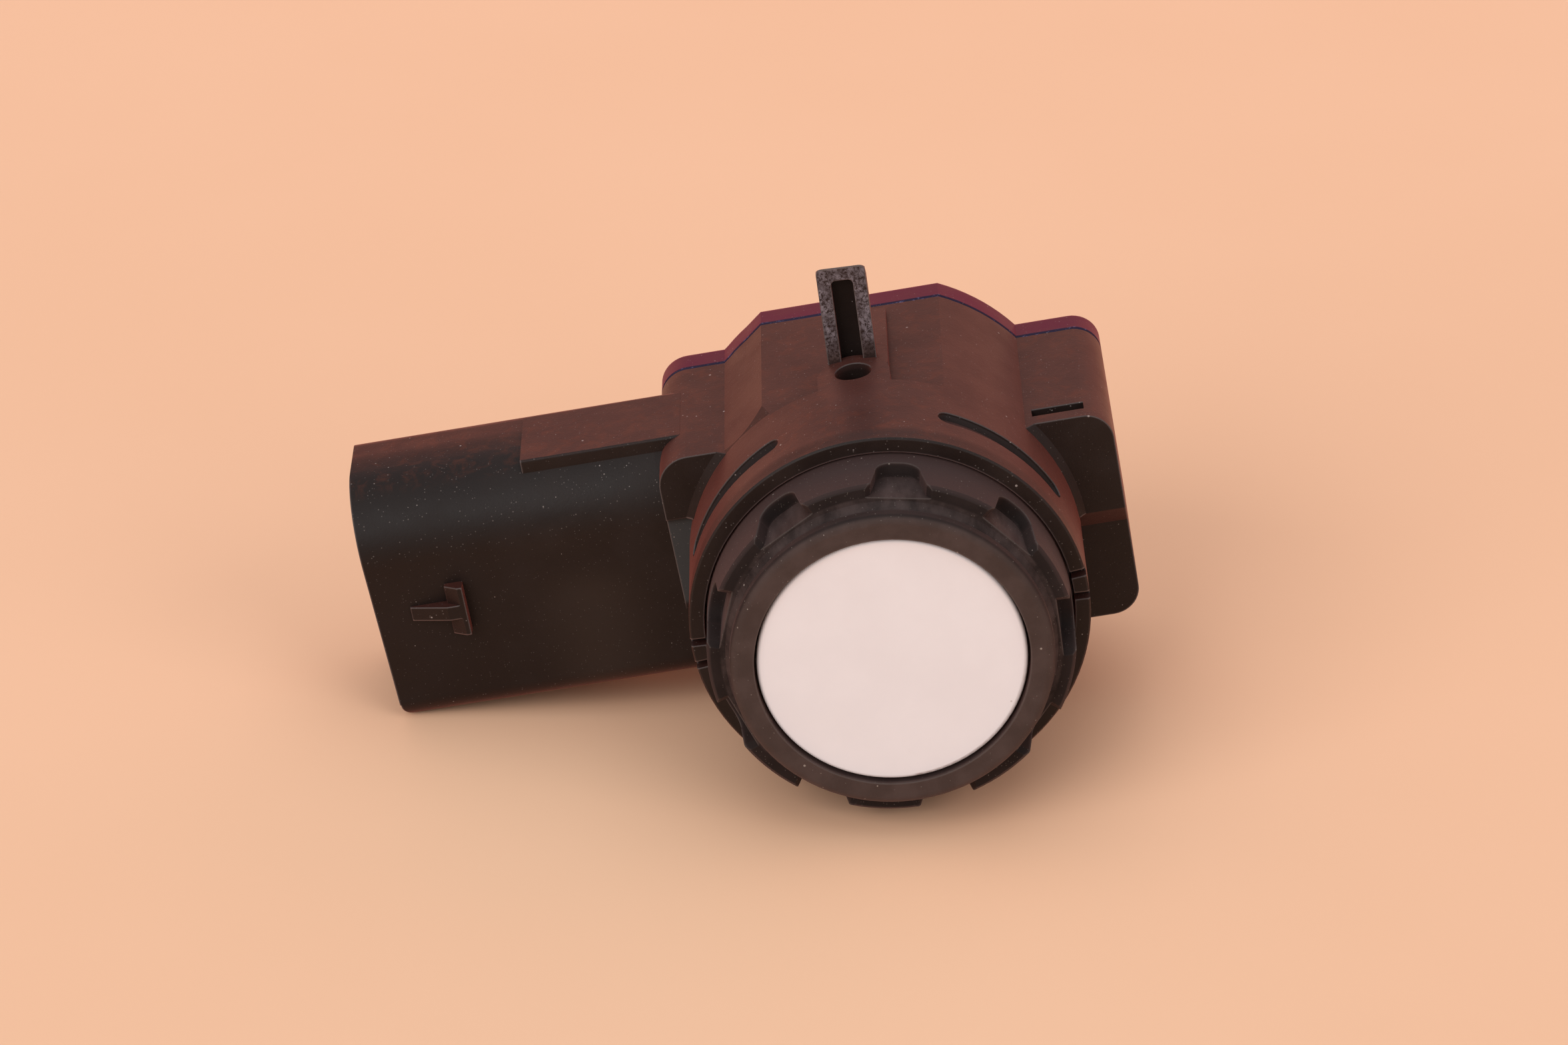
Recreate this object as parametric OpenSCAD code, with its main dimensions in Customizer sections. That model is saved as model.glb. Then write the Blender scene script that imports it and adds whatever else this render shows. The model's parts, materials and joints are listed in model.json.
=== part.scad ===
// Ultrasonic parking sensor with a side connector, in millimetres.
// The sensor axis is Y and the sensing face looks along -Y. The locating tab stands up along +Z and the
// connector points along -X. The origin is on the axis, in the plane of the barrel's rim.

/* [Sensing head] */
// Diameter of the painted sensing face
face_d = 15.6; // [14.8:0.1:16]
// How far the sensing face stands in front of the barrel's rim
face_reach = 5.1; // [4.9:0.1:5.5]
// Thickness of the cup behind the sensing face
cup_face_t = 0.8; // [0.6:0.05:1.1]
// Wall of the cup
cup_wall = 1.6; // [1.2:0.1:2]
// How far the cup's rear flange stands out
cup_flange_w = 0.9; // [0.6:0.05:1]
// Thickness of the cup's rear flange
cup_flange_t = 1.0; // [0.8:0.1:1.3]
// Radius of the sensing face's edge
face_r = 0.25; // [0.2:0.05:0.5]
// Diameter of the piezo disc
piezo_d = 8.0; // [7:0.1:8.4]
// Thickness of the piezo disc
piezo_t = 0.35; // [0.2:0.05:0.6]
// Thickness of the damping pad behind the piezo disc
damping_t = 3.0; // [2:0.1:4]
// Diameter of the two wires
lead_d = 0.5; // [0.3:0.05:0.6]

/* [Decoupling ring] */
// Diameter of the flat front lip
lip_d = 18.7; // [18.4:0.1:19]
// How far the lip stands in front of the sensing face
lip_proud = 0.3; // [0.1:0.05:0.4]
// Thickness of the lip
lip_t = 1.0; // [0.8:0.05:1]
// Radius of the lip's outer front edge
lip_r = 0.5; // [0.3:0.05:0.5]
// Width of the dark gap between the sensing face and the lip
lip_gap = 0.14; // [0.1:0.02:0.4]
// Depth of that gap
lip_gap_depth = 0.9; // [0.5:0.1:1.2]
// Diameter of the neck behind the lip
neck_d = 18.2; // [17.8:0.1:18.3]
// Diameter to which the neck widens at the flange
neck_end_d = 19.4; // [19:0.1:19.6]
// How far the flange's front edge lies behind the sensing face
land_setback = 1.35; // [1.2:0.05:1.6]
// Bevel on the flange's front edge
land_bevel = 0.2; // [0.1:0.05:0.25]
// How far behind the barrel's rim the flange widens to fill the bore
flange_seat = 0.8; // [0.5:0.1:1.5]
// Number of notches round the flange
notch_count = 9; // [7:1:10]
// Turn of the first notch from the tab's side
notch_clock = 11.6; // [0:0.1:40]
// Width of a notch at the flange's front edge
notch_front_w = 3.2; // [2.9:0.1:3.4]
// Flare of a notch where it opens at the flange's front edge
notch_flare = 0.3; // [0.1:0.05:0.4]
// Width of a notch at its rear
notch_rear_w = 2.6; // [2.3:0.1:2.8]
// Length of a notch along the axis
notch_len = 2.7; // [2.2:0.1:2.8]
// Rise of the notches' flat floor over the neck's wide end
notch_rise = 0.05; // [0.03:0.01:0.15]
// Radius of the notch's rear corners
notch_corner_r = 0.95; // [0.5:0.05:1.1]

/* [Barrel] */
// Outer diameter of the barrel
barrel_d = 23.4; // [23:0.1:23.8]
// Wall of the barrel round the bore that takes the decoupling ring
rim_wall = 0.9; // [0.8:0.05:1]
// Depth of that bore
bore_depth = 5.2; // [4.8:0.1:5.5]
// Bevel on the barrel's front edge
rim_bevel = 0.1; // [0.1:0.05:0.3]
// Length of the round collar, up to the flat on top of the body
collar_len = 7.8; // [7.2:0.1:8.2]
// Distance from the rim to the end of the barrel's straight front part
barrel_len = 5.0; // [4.8:0.1:5.2]
// How much the round body widens from there to the seam
core_draft = 0.06; // [0.03:0.01:0.12]
// Thickness of the partition behind the bore
partition_t = 1.5; // [1.2:0.1:1.8]
// Position of the two arc grooves along the barrel
arc_y = 3.6; // [3.5:0.05:4.2]
// Width of the arc grooves
arc_w = 1.4; // [0.8:0.1:1.5]
// Depth of the arc grooves
arc_depth = 0.5; // [0.2:0.05:0.6]
// Angle from the tab's side at which each groove starts
arc_from = 27; // [22:1:30]
// Angle from the tab's side at which each groove ends
arc_to = 65; // [55:1:75]
// Width of the narrow slots in the rim
rim_slot_w = 0.45; // [0.3:0.05:0.6]
// Depth of those slots along the axis
rim_slot_depth = 0.7; // [0.4:0.1:1]
// Angle between the two slots on each side
rim_slot_pitch = 7.4; // [5:0.2:10]
// Turn of the slots against the tab, towards the left
rim_slot_turn = 1.3; // [0:0.1:3]

/* [Body] */
// Distance from the rim to the seam with the rear cover
seam_y = 20.7; // [20.2:0.1:21.5]
// Distance from the rim to the front of the side wings
shoulder_y = 8.35; // [8:0.05:8.8]
// Height of the flat on top of the body above the axis
flat_z = 10.5; // [10.2:0.1:10.7]
// Reach of the flat's left end from the axis
flat_left = 5.65; // [5.4:0.05:5.9]
// Length over which the slope beside the flat rises out of the round body
slope_blend = 3.0; // [2:0.1:4]
// Reach of the left wing from the axis
left_x = 12.5; // [12.2:0.1:13]
// Height of the left wing's top above the axis
left_top = 8.4; // [8.2:0.1:8.8]
// Reach of the right wing from the axis
right_x = 14.5; // [14:0.1:15]
// Height of the right wing's top above the axis
right_top = 6.9; // [6.5:0.1:7.2]
// Depth of both wings below the axis
wing_low = 7.0; // [6.8:0.1:7.4]
// Corner radius of the left wing
left_r = 1.9; // [1.4:0.1:2.2]
// Corner radius of the right wing
right_r = 1.7; // [1.2:0.1:2]
// Setback of the lower half of the right wing
right_step = 1.0; // [0.6:0.1:1.4]
// Height above the axis at which the right wing starts to step back
right_step_z = 0.5; // [0:0.1:1]
// Drop of the right wing's sloping step
right_step_drop = 1.3; // [0.8:0.1:1.8]
// Height above the axis of the left wing's step
left_step_z = 4.45; // [4:0.05:5]
// Height below the axis at which the left wing's gusset runs out
gusset_low = 2.2; // [1.5:0.1:3]
// Width of the fillet between the barrel and the front of the wings
wing_fillet = 0.45; // [0.2:0.05:0.5]
// Wall of the body round the board
body_wall = 1.5; // [1.3:0.05:1.7]
// Length of the slot in the top of the right wing
top_slot_l = 3.1; // [2.6:0.1:3.3]
// Width of that slot
top_slot_w = 0.9; // [0.6:0.1:1.1]
// Depth of that slot
top_slot_depth = 0.6; // [0.4:0.1:0.9]
// Distance of that slot from the wing's front
top_slot_inset = 1.0; // [0.8:0.1:1.4]

/* [Locating tab] */
// Width of the tab
tab_w = 2.9; // [2.6:0.1:3.2]
// Height of the tab's top above the axis
tab_top = 17.75; // [17:0.05:18.5]
// Thickness of the tab along the axis
tab_t = 1.6; // [1.4:0.1:1.9]
// Distance from the rim to the tab's front
tab_y = 10.9; // [10.7:0.05:11.2]
// Fall of the tab's top towards its back
tab_fall = 1.3; // [0.9:0.1:1.6]
// Lean of the tab to the right
tab_lean = 2.5; // [0:0.5:4]
// Radius of the tab's upper corners
tab_r = 0.4; // [0.2:0.05:0.6]
// Width of the slot in the tab's front
tab_slot_w = 1.3; // [1:0.1:1.5]
// Depth of the slot in the tab's front
tab_slot_depth = 1.0; // [0.6:0.1:1.1]
// Thickness of the tab above its slot
tab_slot_cap = 0.85; // [0.6:0.05:1.1]
// Reach of the low rib beside the tab, from the tab's middle
rib_x = 2.05; // [1.8:0.05:2.1]
// Rise of that rib over the flat at its front
rib_rise = 0.7; // [0.5:0.05:0.9]
// Rise of that rib over the flat at its rear
rib_end_rise = 0.3; // [0.1:0.05:0.4]
// Distance from the rib's rear to the seam
rib_setback = 1.2; // [0.8:0.1:2]
// Width of the boss round the locating hole
boss_w = 4.3; // [4:0.1:4.6]
// Diameter of the locating hole
hole_d = 2.2; // [1.9:0.1:2.4]
// Depth of the locating hole
hole_depth = 1.8; // [1.4:0.1:2]
// Distance from the rim to the locating hole
hole_y = 9.3; // [9.2:0.05:9.4]

/* [Connector] */
// Reach of the connector's mouth from the axis
mouth_x = 31.25; // [30.5:0.05:33]
// Distance from the rim to the connector's front
conn_y = 9.5; // [9.4:0.05:9.8]
// Depth of the connector along the sensor axis
conn_depth = 9.3; // [9:0.1:9.6]
// Height of the connector's top above the axis
conn_top = 8.25; // [8:0.05:8.3]
// Depth of the connector's underside below the axis
conn_low = 6.7; // [6.4:0.05:6.8]
// Radius of the connector's front upper corner
conn_big_r = 4.4; // [4:0.1:4.8]
// Radius of the connector's other corners
conn_small_r = 1.3; // [1.2:0.05:1.6]
// Wall of the connector
conn_wall = 1.2; // [1:0.05:1.3]
// How far the mouth's lower edge lies behind its upper edge
mouth_lean = 0.5; // [0.2:0.05:0.8]
// Radius of the mouth's lower outer edge
mouth_r = 1.1; // [0.6:0.05:1.2]
// Depth of the socket behind its mouth
socket_depth = 16.5; // [15:0.1:17]
// Length of the pad on top of the connector, from the wing
pad_l = 8.2; // [7.6:0.1:9]
// Distance from the connector's front to the pad's front
pad_inset = 2.0; // [1.8:0.1:2.4]
// Rise of the pad over the connector's top
pad_rise = 0.12; // [0.05:0.01:0.2]
// Distance of the locking nose's heel from the mouth
nose_heel = 5.85; // [5.2:0.05:6.5]
// Length of the locking nose's ramp
nose_l = 3.4; // [2.8:0.1:3.8]
// Rise of the locking nose
nose_h = 0.9; // [0.6:0.05:1.1]
// Width of the locking nose's bar
nose_w = 3.2; // [2.8:0.1:3.6]
// Width of the locking nose's ramp
nose_ramp_w = 0.9; // [0.6:0.1:1.2]
// Height of the locking nose's middle above the axis
nose_z = 0.5; // [0:0.1:1]

/* [Terminals] */
// Side of the square terminals
pin_side = 0.64; // [0.5:0.02:0.7]
// Distance between neighbouring terminals
pin_pitch = 3.0; // [2.6:0.1:3.2]
// Length of a terminal that stands in the socket
pin_reach = 8.5; // [7:0.1:9.5]
// Distance from the axis to the terminals' holes in the board
pin_board_x = 6.6; // [6.4:0.05:6.8]

/* [Rear cover] */
// Thickness of the cover
cover_t = 2.1; // [1.8:0.1:2.4]
// Bevel round the back of the cover
cover_bevel = 0.3; // [0.2:0.05:0.5]
// Length of the spigot that enters the body
spigot_l = 0.9; // [0.6:0.1:1.2]
// Depth of the shallow panel in the back of the cover
panel_depth = 0.3; // [0.2:0.05:0.5]
// Diameter of the shallow panel
panel_d = 15; // [13:0.1:17]

/* [Circuit board] */
// Distance from the rim to the board's seat
board_y = 10.5; // [10.3:0.1:10.8]
// Thickness of the board
board_t = 1.0; // [0.8:0.1:1.6]
// Width of the ledge that carries the board
ledge_w = 1.3; // [1:0.1:1.4]
// Side of the control chip
chip_side = 4.6; // [4:0.1:4.8]
// Thickness of the control chip
chip_t = 0.9; // [0.7:0.05:1.2]
// Side of the transformer
coil_side = 5.6; // [5:0.1:5.8]
// Height of the transformer
coil_h = 5.0; // [4.5:0.1:5.5]
// Diameter of the buffer capacitor
can_d = 4.6; // [4:0.1:4.8]
// Height of the buffer capacitor
can_h = 5.4; // [4.5:0.1:6]
// Length of the small chip parts
chip_part_l = 1.6; // [1.4:0.1:1.8]
// Width of the small chip parts
chip_part_w = 0.8; // [0.6:0.05:0.9]
// Thickness of the small chip parts
chip_part_t = 0.6; // [0.4:0.05:0.9]
// Distance between neighbouring chip capacitors
capacitor_pitch = 1.4; // [1.3:0.05:1.5]
// Distance between neighbouring chip resistors
resistor_pitch = 2.9; // [2.4:0.1:3]
// Distance from the chip resistors to the board's edge
resistor_inset = 2.45; // [2:0.05:2.6]
// Gap between the transformer and the chip resistors
coil_gap = 1.1; // [0.8:0.1:1.3]
// Gap between the buffer capacitor and the chip resistors
can_gap = 1.4; // [1:0.1:1.6]
// Gap between the control chip and the buffer capacitor
chip_gap = 1.1; // [0.9:0.1:1.3]

/* [Clearances] */
// Gap between the cup and the rubber ring
cup_clear = 0.05; // [0.03:0.01:0.1]
// Gap between the rubber ring and the barrel's bore, behind the flange's step
ring_clear = 0.08; // [0.05:0.01:0.12]
// Gap between the castellated flange and the barrel's bore at the rim
land_gap = 0.15; // [0.14:0.01:0.3]
// Gap between the board or the spigot and the body's wall
board_clear = 0.15; // [0.1:0.05:0.25]
// Gap round the terminals and wires where they pass through a piece
wire_clear = 0.06; // [0.04:0.01:0.1]

/* [Hidden] */
$fn = 96;
cut = 0.01;

// Sensing head, from the face to the seat on the partition
face_y = -face_reach;
cup_r = face_d / 2;
cup_in_r = cup_r - cup_wall;
cup_flange_r = cup_r + cup_flange_w;
seat_t = 0.8;
seat_y = bore_depth - seat_t;
piezo_y = face_y + cup_face_t;
damping_y = piezo_y + piezo_t;
lead_z = -0.95;
signal_x = 1.5;
ground_x = -5.1;

// Decoupling ring
bore_d = barrel_d - 2 * rim_wall;
land_d = bore_d - 2 * land_gap;
ring_r = bore_d / 2 - ring_clear;
ring_in_r = cup_r + cup_clear;
lip_y = face_y - lip_proud;
land_y = face_y + land_setback;
notch_y = land_y + notch_len;

// Body cavity and board
barrel_r = barrel_d / 2;
core_r = barrel_r + core_draft;
cavity_r = barrel_r - body_wall;
chamber_y = bore_depth + partition_t;
board_r = cavity_r - board_clear;
board_top = board_y + board_t;
cavity_flat = flat_z - body_wall;

// Connector
conn_y1 = conn_y + conn_depth;
conn_mid_y = (conn_y + conn_y1) / 2;
conn_mid_z = (conn_top - conn_low) / 2;
socket_x = -mouth_x + socket_depth;
pin_zs = [for (i = [-1:1]) conn_mid_z + i * pin_pitch];

// A cylinder on the sensor axis, from y0 to y1
module round_y(y0, y1, r, r_end = undef) {
  translate([0, y0, 0])
    rotate([-90, 0, 0])
      cylinder(h = y1 - y0, r1 = r, r2 = is_undef(r_end) ? r : r_end);
}

// A disc on the sensor axis with a round front edge, drawn as half a section and turned round the axis
module edged_disc(y0, y1, r, edge_r) {
  t = y1 - y0;
  translate([0, y0, 0])
    rotate([-90, 0, 0])
      rotate_extrude() {
        polygon([[0, 0], [r - edge_r, 0], [r, edge_r], [r, t], [0, t]]);
        translate([r - edge_r, edge_r])
          circle(r = edge_r);
      }
}

// An outline in X and Z, drawn out from y0 to y1
module prism_y(y0, y1) {
  translate([0, y1, 0])
    rotate([90, 0, 0])
      linear_extrude(y1 - y0)
        children();
}

// An outline in Y and Z, drawn out from x0 to x1
module prism_x(x0, x1) {
  translate([x0, 0, 0])
    rotate([90, 0, 90])
      linear_extrude(x1 - x0)
        children();
}

// A block between two corners
module block(low, high) {
  translate(low)
    cube(high - low);
}

// A rectangle with its own radius at each corner: lower left, lower right, upper right, upper left
module round_rect(low, high, radii) {
  x0 = low[0];
  y0 = low[1];
  x1 = high[0];
  y1 = high[1];
  polygon([
    [x0, y0 + radii[0]], [x0 + radii[0], y0],
    [x1 - radii[1], y0], [x1, y0 + radii[1]],
    [x1, y1 - radii[2]], [x1 - radii[2], y1],
    [x0 + radii[3], y1], [x0, y1 - radii[3]]
  ]);
  corners = [
    [x0 + radii[0], y0 + radii[0]], [x1 - radii[1], y0 + radii[1]],
    [x1 - radii[2], y1 - radii[2]], [x0 + radii[3], y1 - radii[3]]
  ];
  for (i = [0:3])
    translate(corners[i])
      circle(r = radii[i]);
}

// Round core of the body with its flat top, drawn in by an inset
module core_outline(inset) {
  intersection() {
    circle(r = core_r - inset);
    translate([-barrel_d, -barrel_d])
      square([2 * barrel_d, barrel_d + flat_z - inset]);
  }
}

// Left wing, drawn in by an inset
module left_outline(inset) {
  r = left_r - inset;
  round_rect([-left_x + inset, -wing_low + inset], [0, left_top - inset], [r, 0.1, 0.1, r]);
}

// Right wing, drawn in by an inset
module right_outline(inset) {
  r = right_r - inset;
  round_rect([0, -wing_low + inset], [right_x - inset, right_top - inset], [0.1, r, r, 0.1]);
}

// Slope between the flat and the left wing, drawn in by an inset
module left_slope(inset) {
  polygon([
    [0, 0], [-left_x + left_r + inset, left_top - inset],
    [-barrel_r * cos(45) - inset / 4, left_top - inset],
    [-flat_left + inset / 2, flat_z - inset], [0, flat_z - inset]
  ]);
}

// That slope on the body, rising out of the round body behind the collar
module blended_slope() {
  blend_y = collar_len + slope_blend;
  rise = 0.5;
  intersection() {
    prism_y(collar_len, seam_y)
      left_slope(0);
    union() {
      round_y(collar_len - cut, blend_y, barrel_r - 0.02, barrel_r + rise);
      round_y(blend_y, seam_y + 1, 2 * barrel_r);
    }
  }
}

// Outline that the rear of the body and the cover share
module body_outline(inset) {
  core_outline(inset);
  left_slope(inset);
  left_outline(inset);
  right_outline(inset);
}

// Room for the board, drawn in by a clearance
module cavity_outline(clear) {
  intersection() {
    circle(r = cavity_r - clear);
    translate([-barrel_d, -barrel_d])
      square([2 * barrel_d, barrel_d + cavity_flat - clear]);
  }
}

// Connector outline in Y and Z, drawn in by an inset: its front upper corner has the large radius
module conn_outline(inset) {
  small = max(conn_small_r - inset, 0.1);
  big = conn_big_r - inset;
  low = [conn_y + inset, -conn_low + inset];
  high = [conn_y1 - inset, conn_top - inset];
  round_rect(low, high, [small, small, small, big]);
}

// Place something on the sensor axis at an angle from the tab's side, with +Z outward
module at_angle(angle) {
  rotate([0, angle, 0])
    children();
}

// One arc groove with round ends, on the side given by +1 or -1
module arc_groove(side) {
  floor_r = barrel_r - arc_depth;
  reach = 2 * barrel_r;
  intersection() {
    difference() {
      round_y(arc_y - arc_w / 2, arc_y + arc_w / 2, barrel_r + 1);
      round_y(arc_y - arc_w, arc_y + arc_w, floor_r);
    }
    prism_y(arc_y - arc_w, arc_y + arc_w)
      polygon([[0, 0], for (a = [arc_from, arc_to]) [side * reach * sin(a), reach * cos(a)]]);
  }
  for (a = [arc_from, arc_to])
    at_angle(side * a)
      translate([0, arc_y, floor_r])
        cylinder(h = 2, d = arc_w - 2 * cut);
}

// Narrow slots through the rim, a pair on each side
module rim_slots() {
  for (side = [-1, 1], i = [-1, 1])
    at_angle(side * 90 + i * rim_slot_pitch / 2 - rim_slot_turn)
      block([-rim_slot_w / 2, -1, bore_d / 2 - 0.5], [rim_slot_w / 2, rim_slot_depth, barrel_r + 1]);
}

// Fillet between the barrel and the front of a wing, above a height
module barrel_fillet(low_z) {
  y0 = shoulder_y - wing_fillet;
  intersection() {
    round_y(y0, shoulder_y + cut, barrel_r, barrel_r + wing_fillet);
    prism_y(y0 - 1, shoulder_y + 1)
      intersection() {
        children();
        translate([-barrel_d, low_z])
          square([2 * barrel_d, barrel_d]);
      }
  }
}

// Left wing with its step and the gusset that runs out on the connector's front
module left_wing() {
  ledge = 0.4;
  difference() {
    prism_y(shoulder_y, seam_y)
      left_outline(0);
    prism_x(-left_x - 1, 0)
      polygon([
        [shoulder_y - 1, left_step_z], [shoulder_y, left_step_z],
        [shoulder_y + ledge, left_step_z - 0.2], [conn_y, -gusset_low],
        [conn_y, -wing_low - 1], [shoulder_y - 1, -wing_low - 1]
      ]);
  }
  barrel_fillet(left_step_z)
    left_outline(0);
}

// Right wing with its sloping step and the slot in its top
module right_wing() {
  step_low = right_step_z - right_step_drop;
  slot_x = right_x - right_r + 0.2 - top_slot_l;
  slot_y = shoulder_y + top_slot_inset;
  difference() {
    prism_y(shoulder_y, seam_y)
      right_outline(0);
    prism_x(0, right_x + 1)
      polygon([
        [shoulder_y - 1, right_step_z], [shoulder_y, right_step_z],
        [shoulder_y + right_step, step_low], [shoulder_y + right_step, -wing_low - 1],
        [shoulder_y - 1, -wing_low - 1]
      ]);
    block([slot_x, slot_y, right_top - top_slot_depth],
      [slot_x + top_slot_l, slot_y + top_slot_w, right_top + 1]);
  }
  barrel_fillet(right_step_z)
    right_outline(0);
}

// Hollow of the right wing, open to the back
module right_hollow() {
  y0 = shoulder_y + right_step + body_wall;
  block([cavity_r - 2, y0, -wing_low + body_wall],
    [right_x - body_wall, seam_y + 1, right_top - body_wall]);
}

// Tab with the blind slot in its front, leaning about its foot
module tab() {
  foot = flat_z - 0.4;
  lean_z = barrel_r;
  past_y = tab_y + tab_t + 1;
  past_z = tab_top - tab_fall * (tab_t + 1) / tab_t;
  slot_top = tab_top - tab_slot_cap;
  translate([0, 0, lean_z])
    rotate([0, tab_lean, 0])
      translate([0, 0, -lean_z])
        difference() {
          prism_y(tab_y, tab_y + tab_t)
            round_rect([-tab_w / 2, foot], [tab_w / 2, tab_top], [0.05, 0.05, tab_r, tab_r]);
          prism_x(-tab_w, tab_w)
            polygon([[tab_y, tab_top], [past_y, past_z], [past_y, tab_top + 1], [tab_y, tab_top + 1]]);
          prism_y(tab_y - 1, tab_y + tab_slot_depth)
            round_rect([-tab_slot_w / 2, flat_z + 0.3], [tab_slot_w / 2, slot_top], [0.05, 0.05, 0.3, 0.3]);
        }
}

// Outline in X and Y of the boss that joins the collar to the tab, flush with the collar
module boss_outline() {
  translate([0, hole_y])
    circle(d = boss_w);
  translate([-boss_w / 2, collar_len - 1])
    square([boss_w, hole_y - collar_len + 1]);
  translate([-tab_w / 2, hole_y])
    square([tab_w, tab_y + 0.15 - hole_y]);
}

// What is taken off the round body above the flat, round the boss
module flat_cut() {
  translate([0, 0, flat_z])
    linear_extrude(barrel_d)
      difference() {
        translate([-barrel_d, collar_len])
          square([2 * barrel_d, seam_y + 1 - collar_len]);
        boss_outline();
      }
}

// Low rib along the right side of the tab, falling towards the seam
module tab_rib() {
  foot = flat_z - 0.4;
  end_y = seam_y - rib_setback;
  prism_x(tab_w / 2 - 0.5, rib_x)
    polygon([
      [hole_y, foot], [hole_y, flat_z + rib_rise], [tab_y, flat_z + rib_rise],
      [end_y, flat_z + rib_end_rise], [end_y, foot]
    ]);
}

// Locking nose on the connector's front: a ramp that ends in a cross bar
module locking_nose() {
  heel_x = -mouth_x + nose_heel;
  toe_x = heel_x - nose_l;
  bar_l = 1.1;
  y = conn_y + 0.2;
  translate([0, 0, nose_z - nose_ramp_w / 2])
    linear_extrude(nose_ramp_w)
      polygon([
        [toe_x, y], [toe_x, conn_y - 0.15], [heel_x - bar_l, conn_y - nose_h],
        [heel_x, conn_y - nose_h], [heel_x, y]
      ]);
  translate([0, 0, nose_z - nose_w / 2])
    linear_extrude(nose_w)
      polygon([
        [heel_x - bar_l, y], [heel_x - bar_l, conn_y - 0.35], [heel_x - 0.3, conn_y - nose_h],
        [heel_x, conn_y - nose_h], [heel_x, y]
      ]);
}

// What is taken off the connector's end, so that the mouth leans and its lower edge is round
module mouth_cut() {
  out_x = -mouth_x - 1;
  low_x = -mouth_x + mouth_lean;
  past = 0.5;
  prism_y(conn_y - 1, conn_y1 + 1)
    polygon([
      [-mouth_x, conn_top + past], [low_x, -conn_low - past],
      [out_x, -conn_low - past], [out_x, conn_top + past]
    ]);
  difference() {
    block([out_x, conn_y - 1, -conn_low - 1],
      [low_x + mouth_r, conn_y1 + 1, -conn_low + mouth_r]);
    translate([low_x + mouth_r, 0, -conn_low + mouth_r])
      round_y(conn_y - 2, conn_y1 + 2, mouth_r);
  }
}

// Connector shroud with the flat pad on its front upper corner
module connector() {
  pad_x = -left_x - pad_l;
  difference() {
    prism_x(-mouth_x, -left_x + 1.5)
      conn_outline(0);
    mouth_cut();
  }
  prism_x(pad_x, -left_x + 1.5)
    round_rect([conn_y + pad_inset, conn_top - 3], [conn_y1 - conn_small_r, conn_top + pad_rise],
      [0.1, 0.1, 0.1, 0.15]);
  locking_nose();
}

// Passages for the wires through the partition
module lead_holes(y0, y1) {
  for (x = [signal_x, ground_x])
    translate([x, 0, lead_z])
      round_y(y0, y1, lead_d / 2 + wire_clear);
}

// Square terminal: along the socket, then bent to the board. A positive grow makes its passage.
module terminal(z, grow = 0) {
  half = pin_side / 2 + grow;
  tip_x = socket_x - pin_reach;
  bend_x = -pin_board_x;
  block([tip_x, conn_mid_y - half, z - half], [bend_x + half, conn_mid_y + half, z + half]);
  block([bend_x - half, board_y - 0.6, z - half], [bend_x + half, conn_mid_y + half, z + half]);
}

module housing() {
  color("#2a2624")
    difference() {
      union() {
        difference() {
          union() {
            round_y(0, rim_bevel, barrel_r - rim_bevel, barrel_r);
            round_y(rim_bevel, barrel_len, barrel_r);
            round_y(barrel_len, seam_y, barrel_r, core_r);
          }
          flat_cut();
        }
        blended_slope();
        left_wing();
        right_wing();
        tab_rib();
        tab();
        connector();
      }
      round_y(-1, bore_depth, bore_d / 2);
      prism_y(chamber_y, board_y + cut)
        cavity_outline(ledge_w);
      prism_y(board_y, seam_y + 1)
        cavity_outline(0);
      right_hollow();
      prism_x(-mouth_x - 1, socket_x)
        conn_outline(conn_wall);
      for (z = pin_zs)
        terminal(z, wire_clear);
      lead_holes(bore_depth - 1, chamber_y + 1);
      translate([0, hole_y, barrel_r - hole_depth])
        cylinder(h = hole_depth + 1, d = hole_d);
      for (side = [-1, 1])
        arc_groove(side);
      rim_slots();
    }
}

module rear_cover() {
  back_y = seam_y + cover_t;
  color("#5a3238")
    difference() {
      union() {
        prism_y(seam_y - spigot_l, seam_y + cut)
          cavity_outline(board_clear);
        prism_y(seam_y, back_y - cover_bevel)
          body_outline(0);
        prism_y(back_y - cover_bevel, back_y)
          body_outline(cover_bevel);
      }
      round_y(back_y - panel_depth, back_y + 1, panel_d / 2);
      prism_y(seam_y - spigot_l - 1, seam_y)
        cavity_outline(board_clear + 1.2);
    }
}

module membrane_cup() {
  color("#e6dcd6")
    difference() {
      union() {
        edged_disc(face_y, seat_y, cup_r, face_r);
        round_y(seat_y - cup_flange_t, seat_y, cup_flange_r);
      }
      round_y(piezo_y, seat_y + 1, cup_in_r);
    }
}

// One notch in the castellated flange, with a flat floor: it flares at the front and has round rear corners
module notch() {
  rear = notch_rear_w / 2 - notch_corner_r;
  bend_y = notch_y - notch_corner_r;
  front = notch_front_w / 2;
  past = 0.3;
  mouth = front + notch_flare + past;
  translate([0, 0, neck_end_d / 2 + notch_rise])
    linear_extrude(barrel_r / 2) {
      polygon([
        [-notch_rear_w / 2, bend_y], [-front, land_y + notch_flare], [-mouth, land_y - past],
        [mouth, land_y - past], [front, land_y + notch_flare], [notch_rear_w / 2, bend_y],
        [rear, notch_y], [-rear, notch_y]
      ]);
      for (side = [-1, 1])
        translate([side * rear, bend_y])
          circle(r = notch_corner_r, $fn = 32);
    }
}

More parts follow.
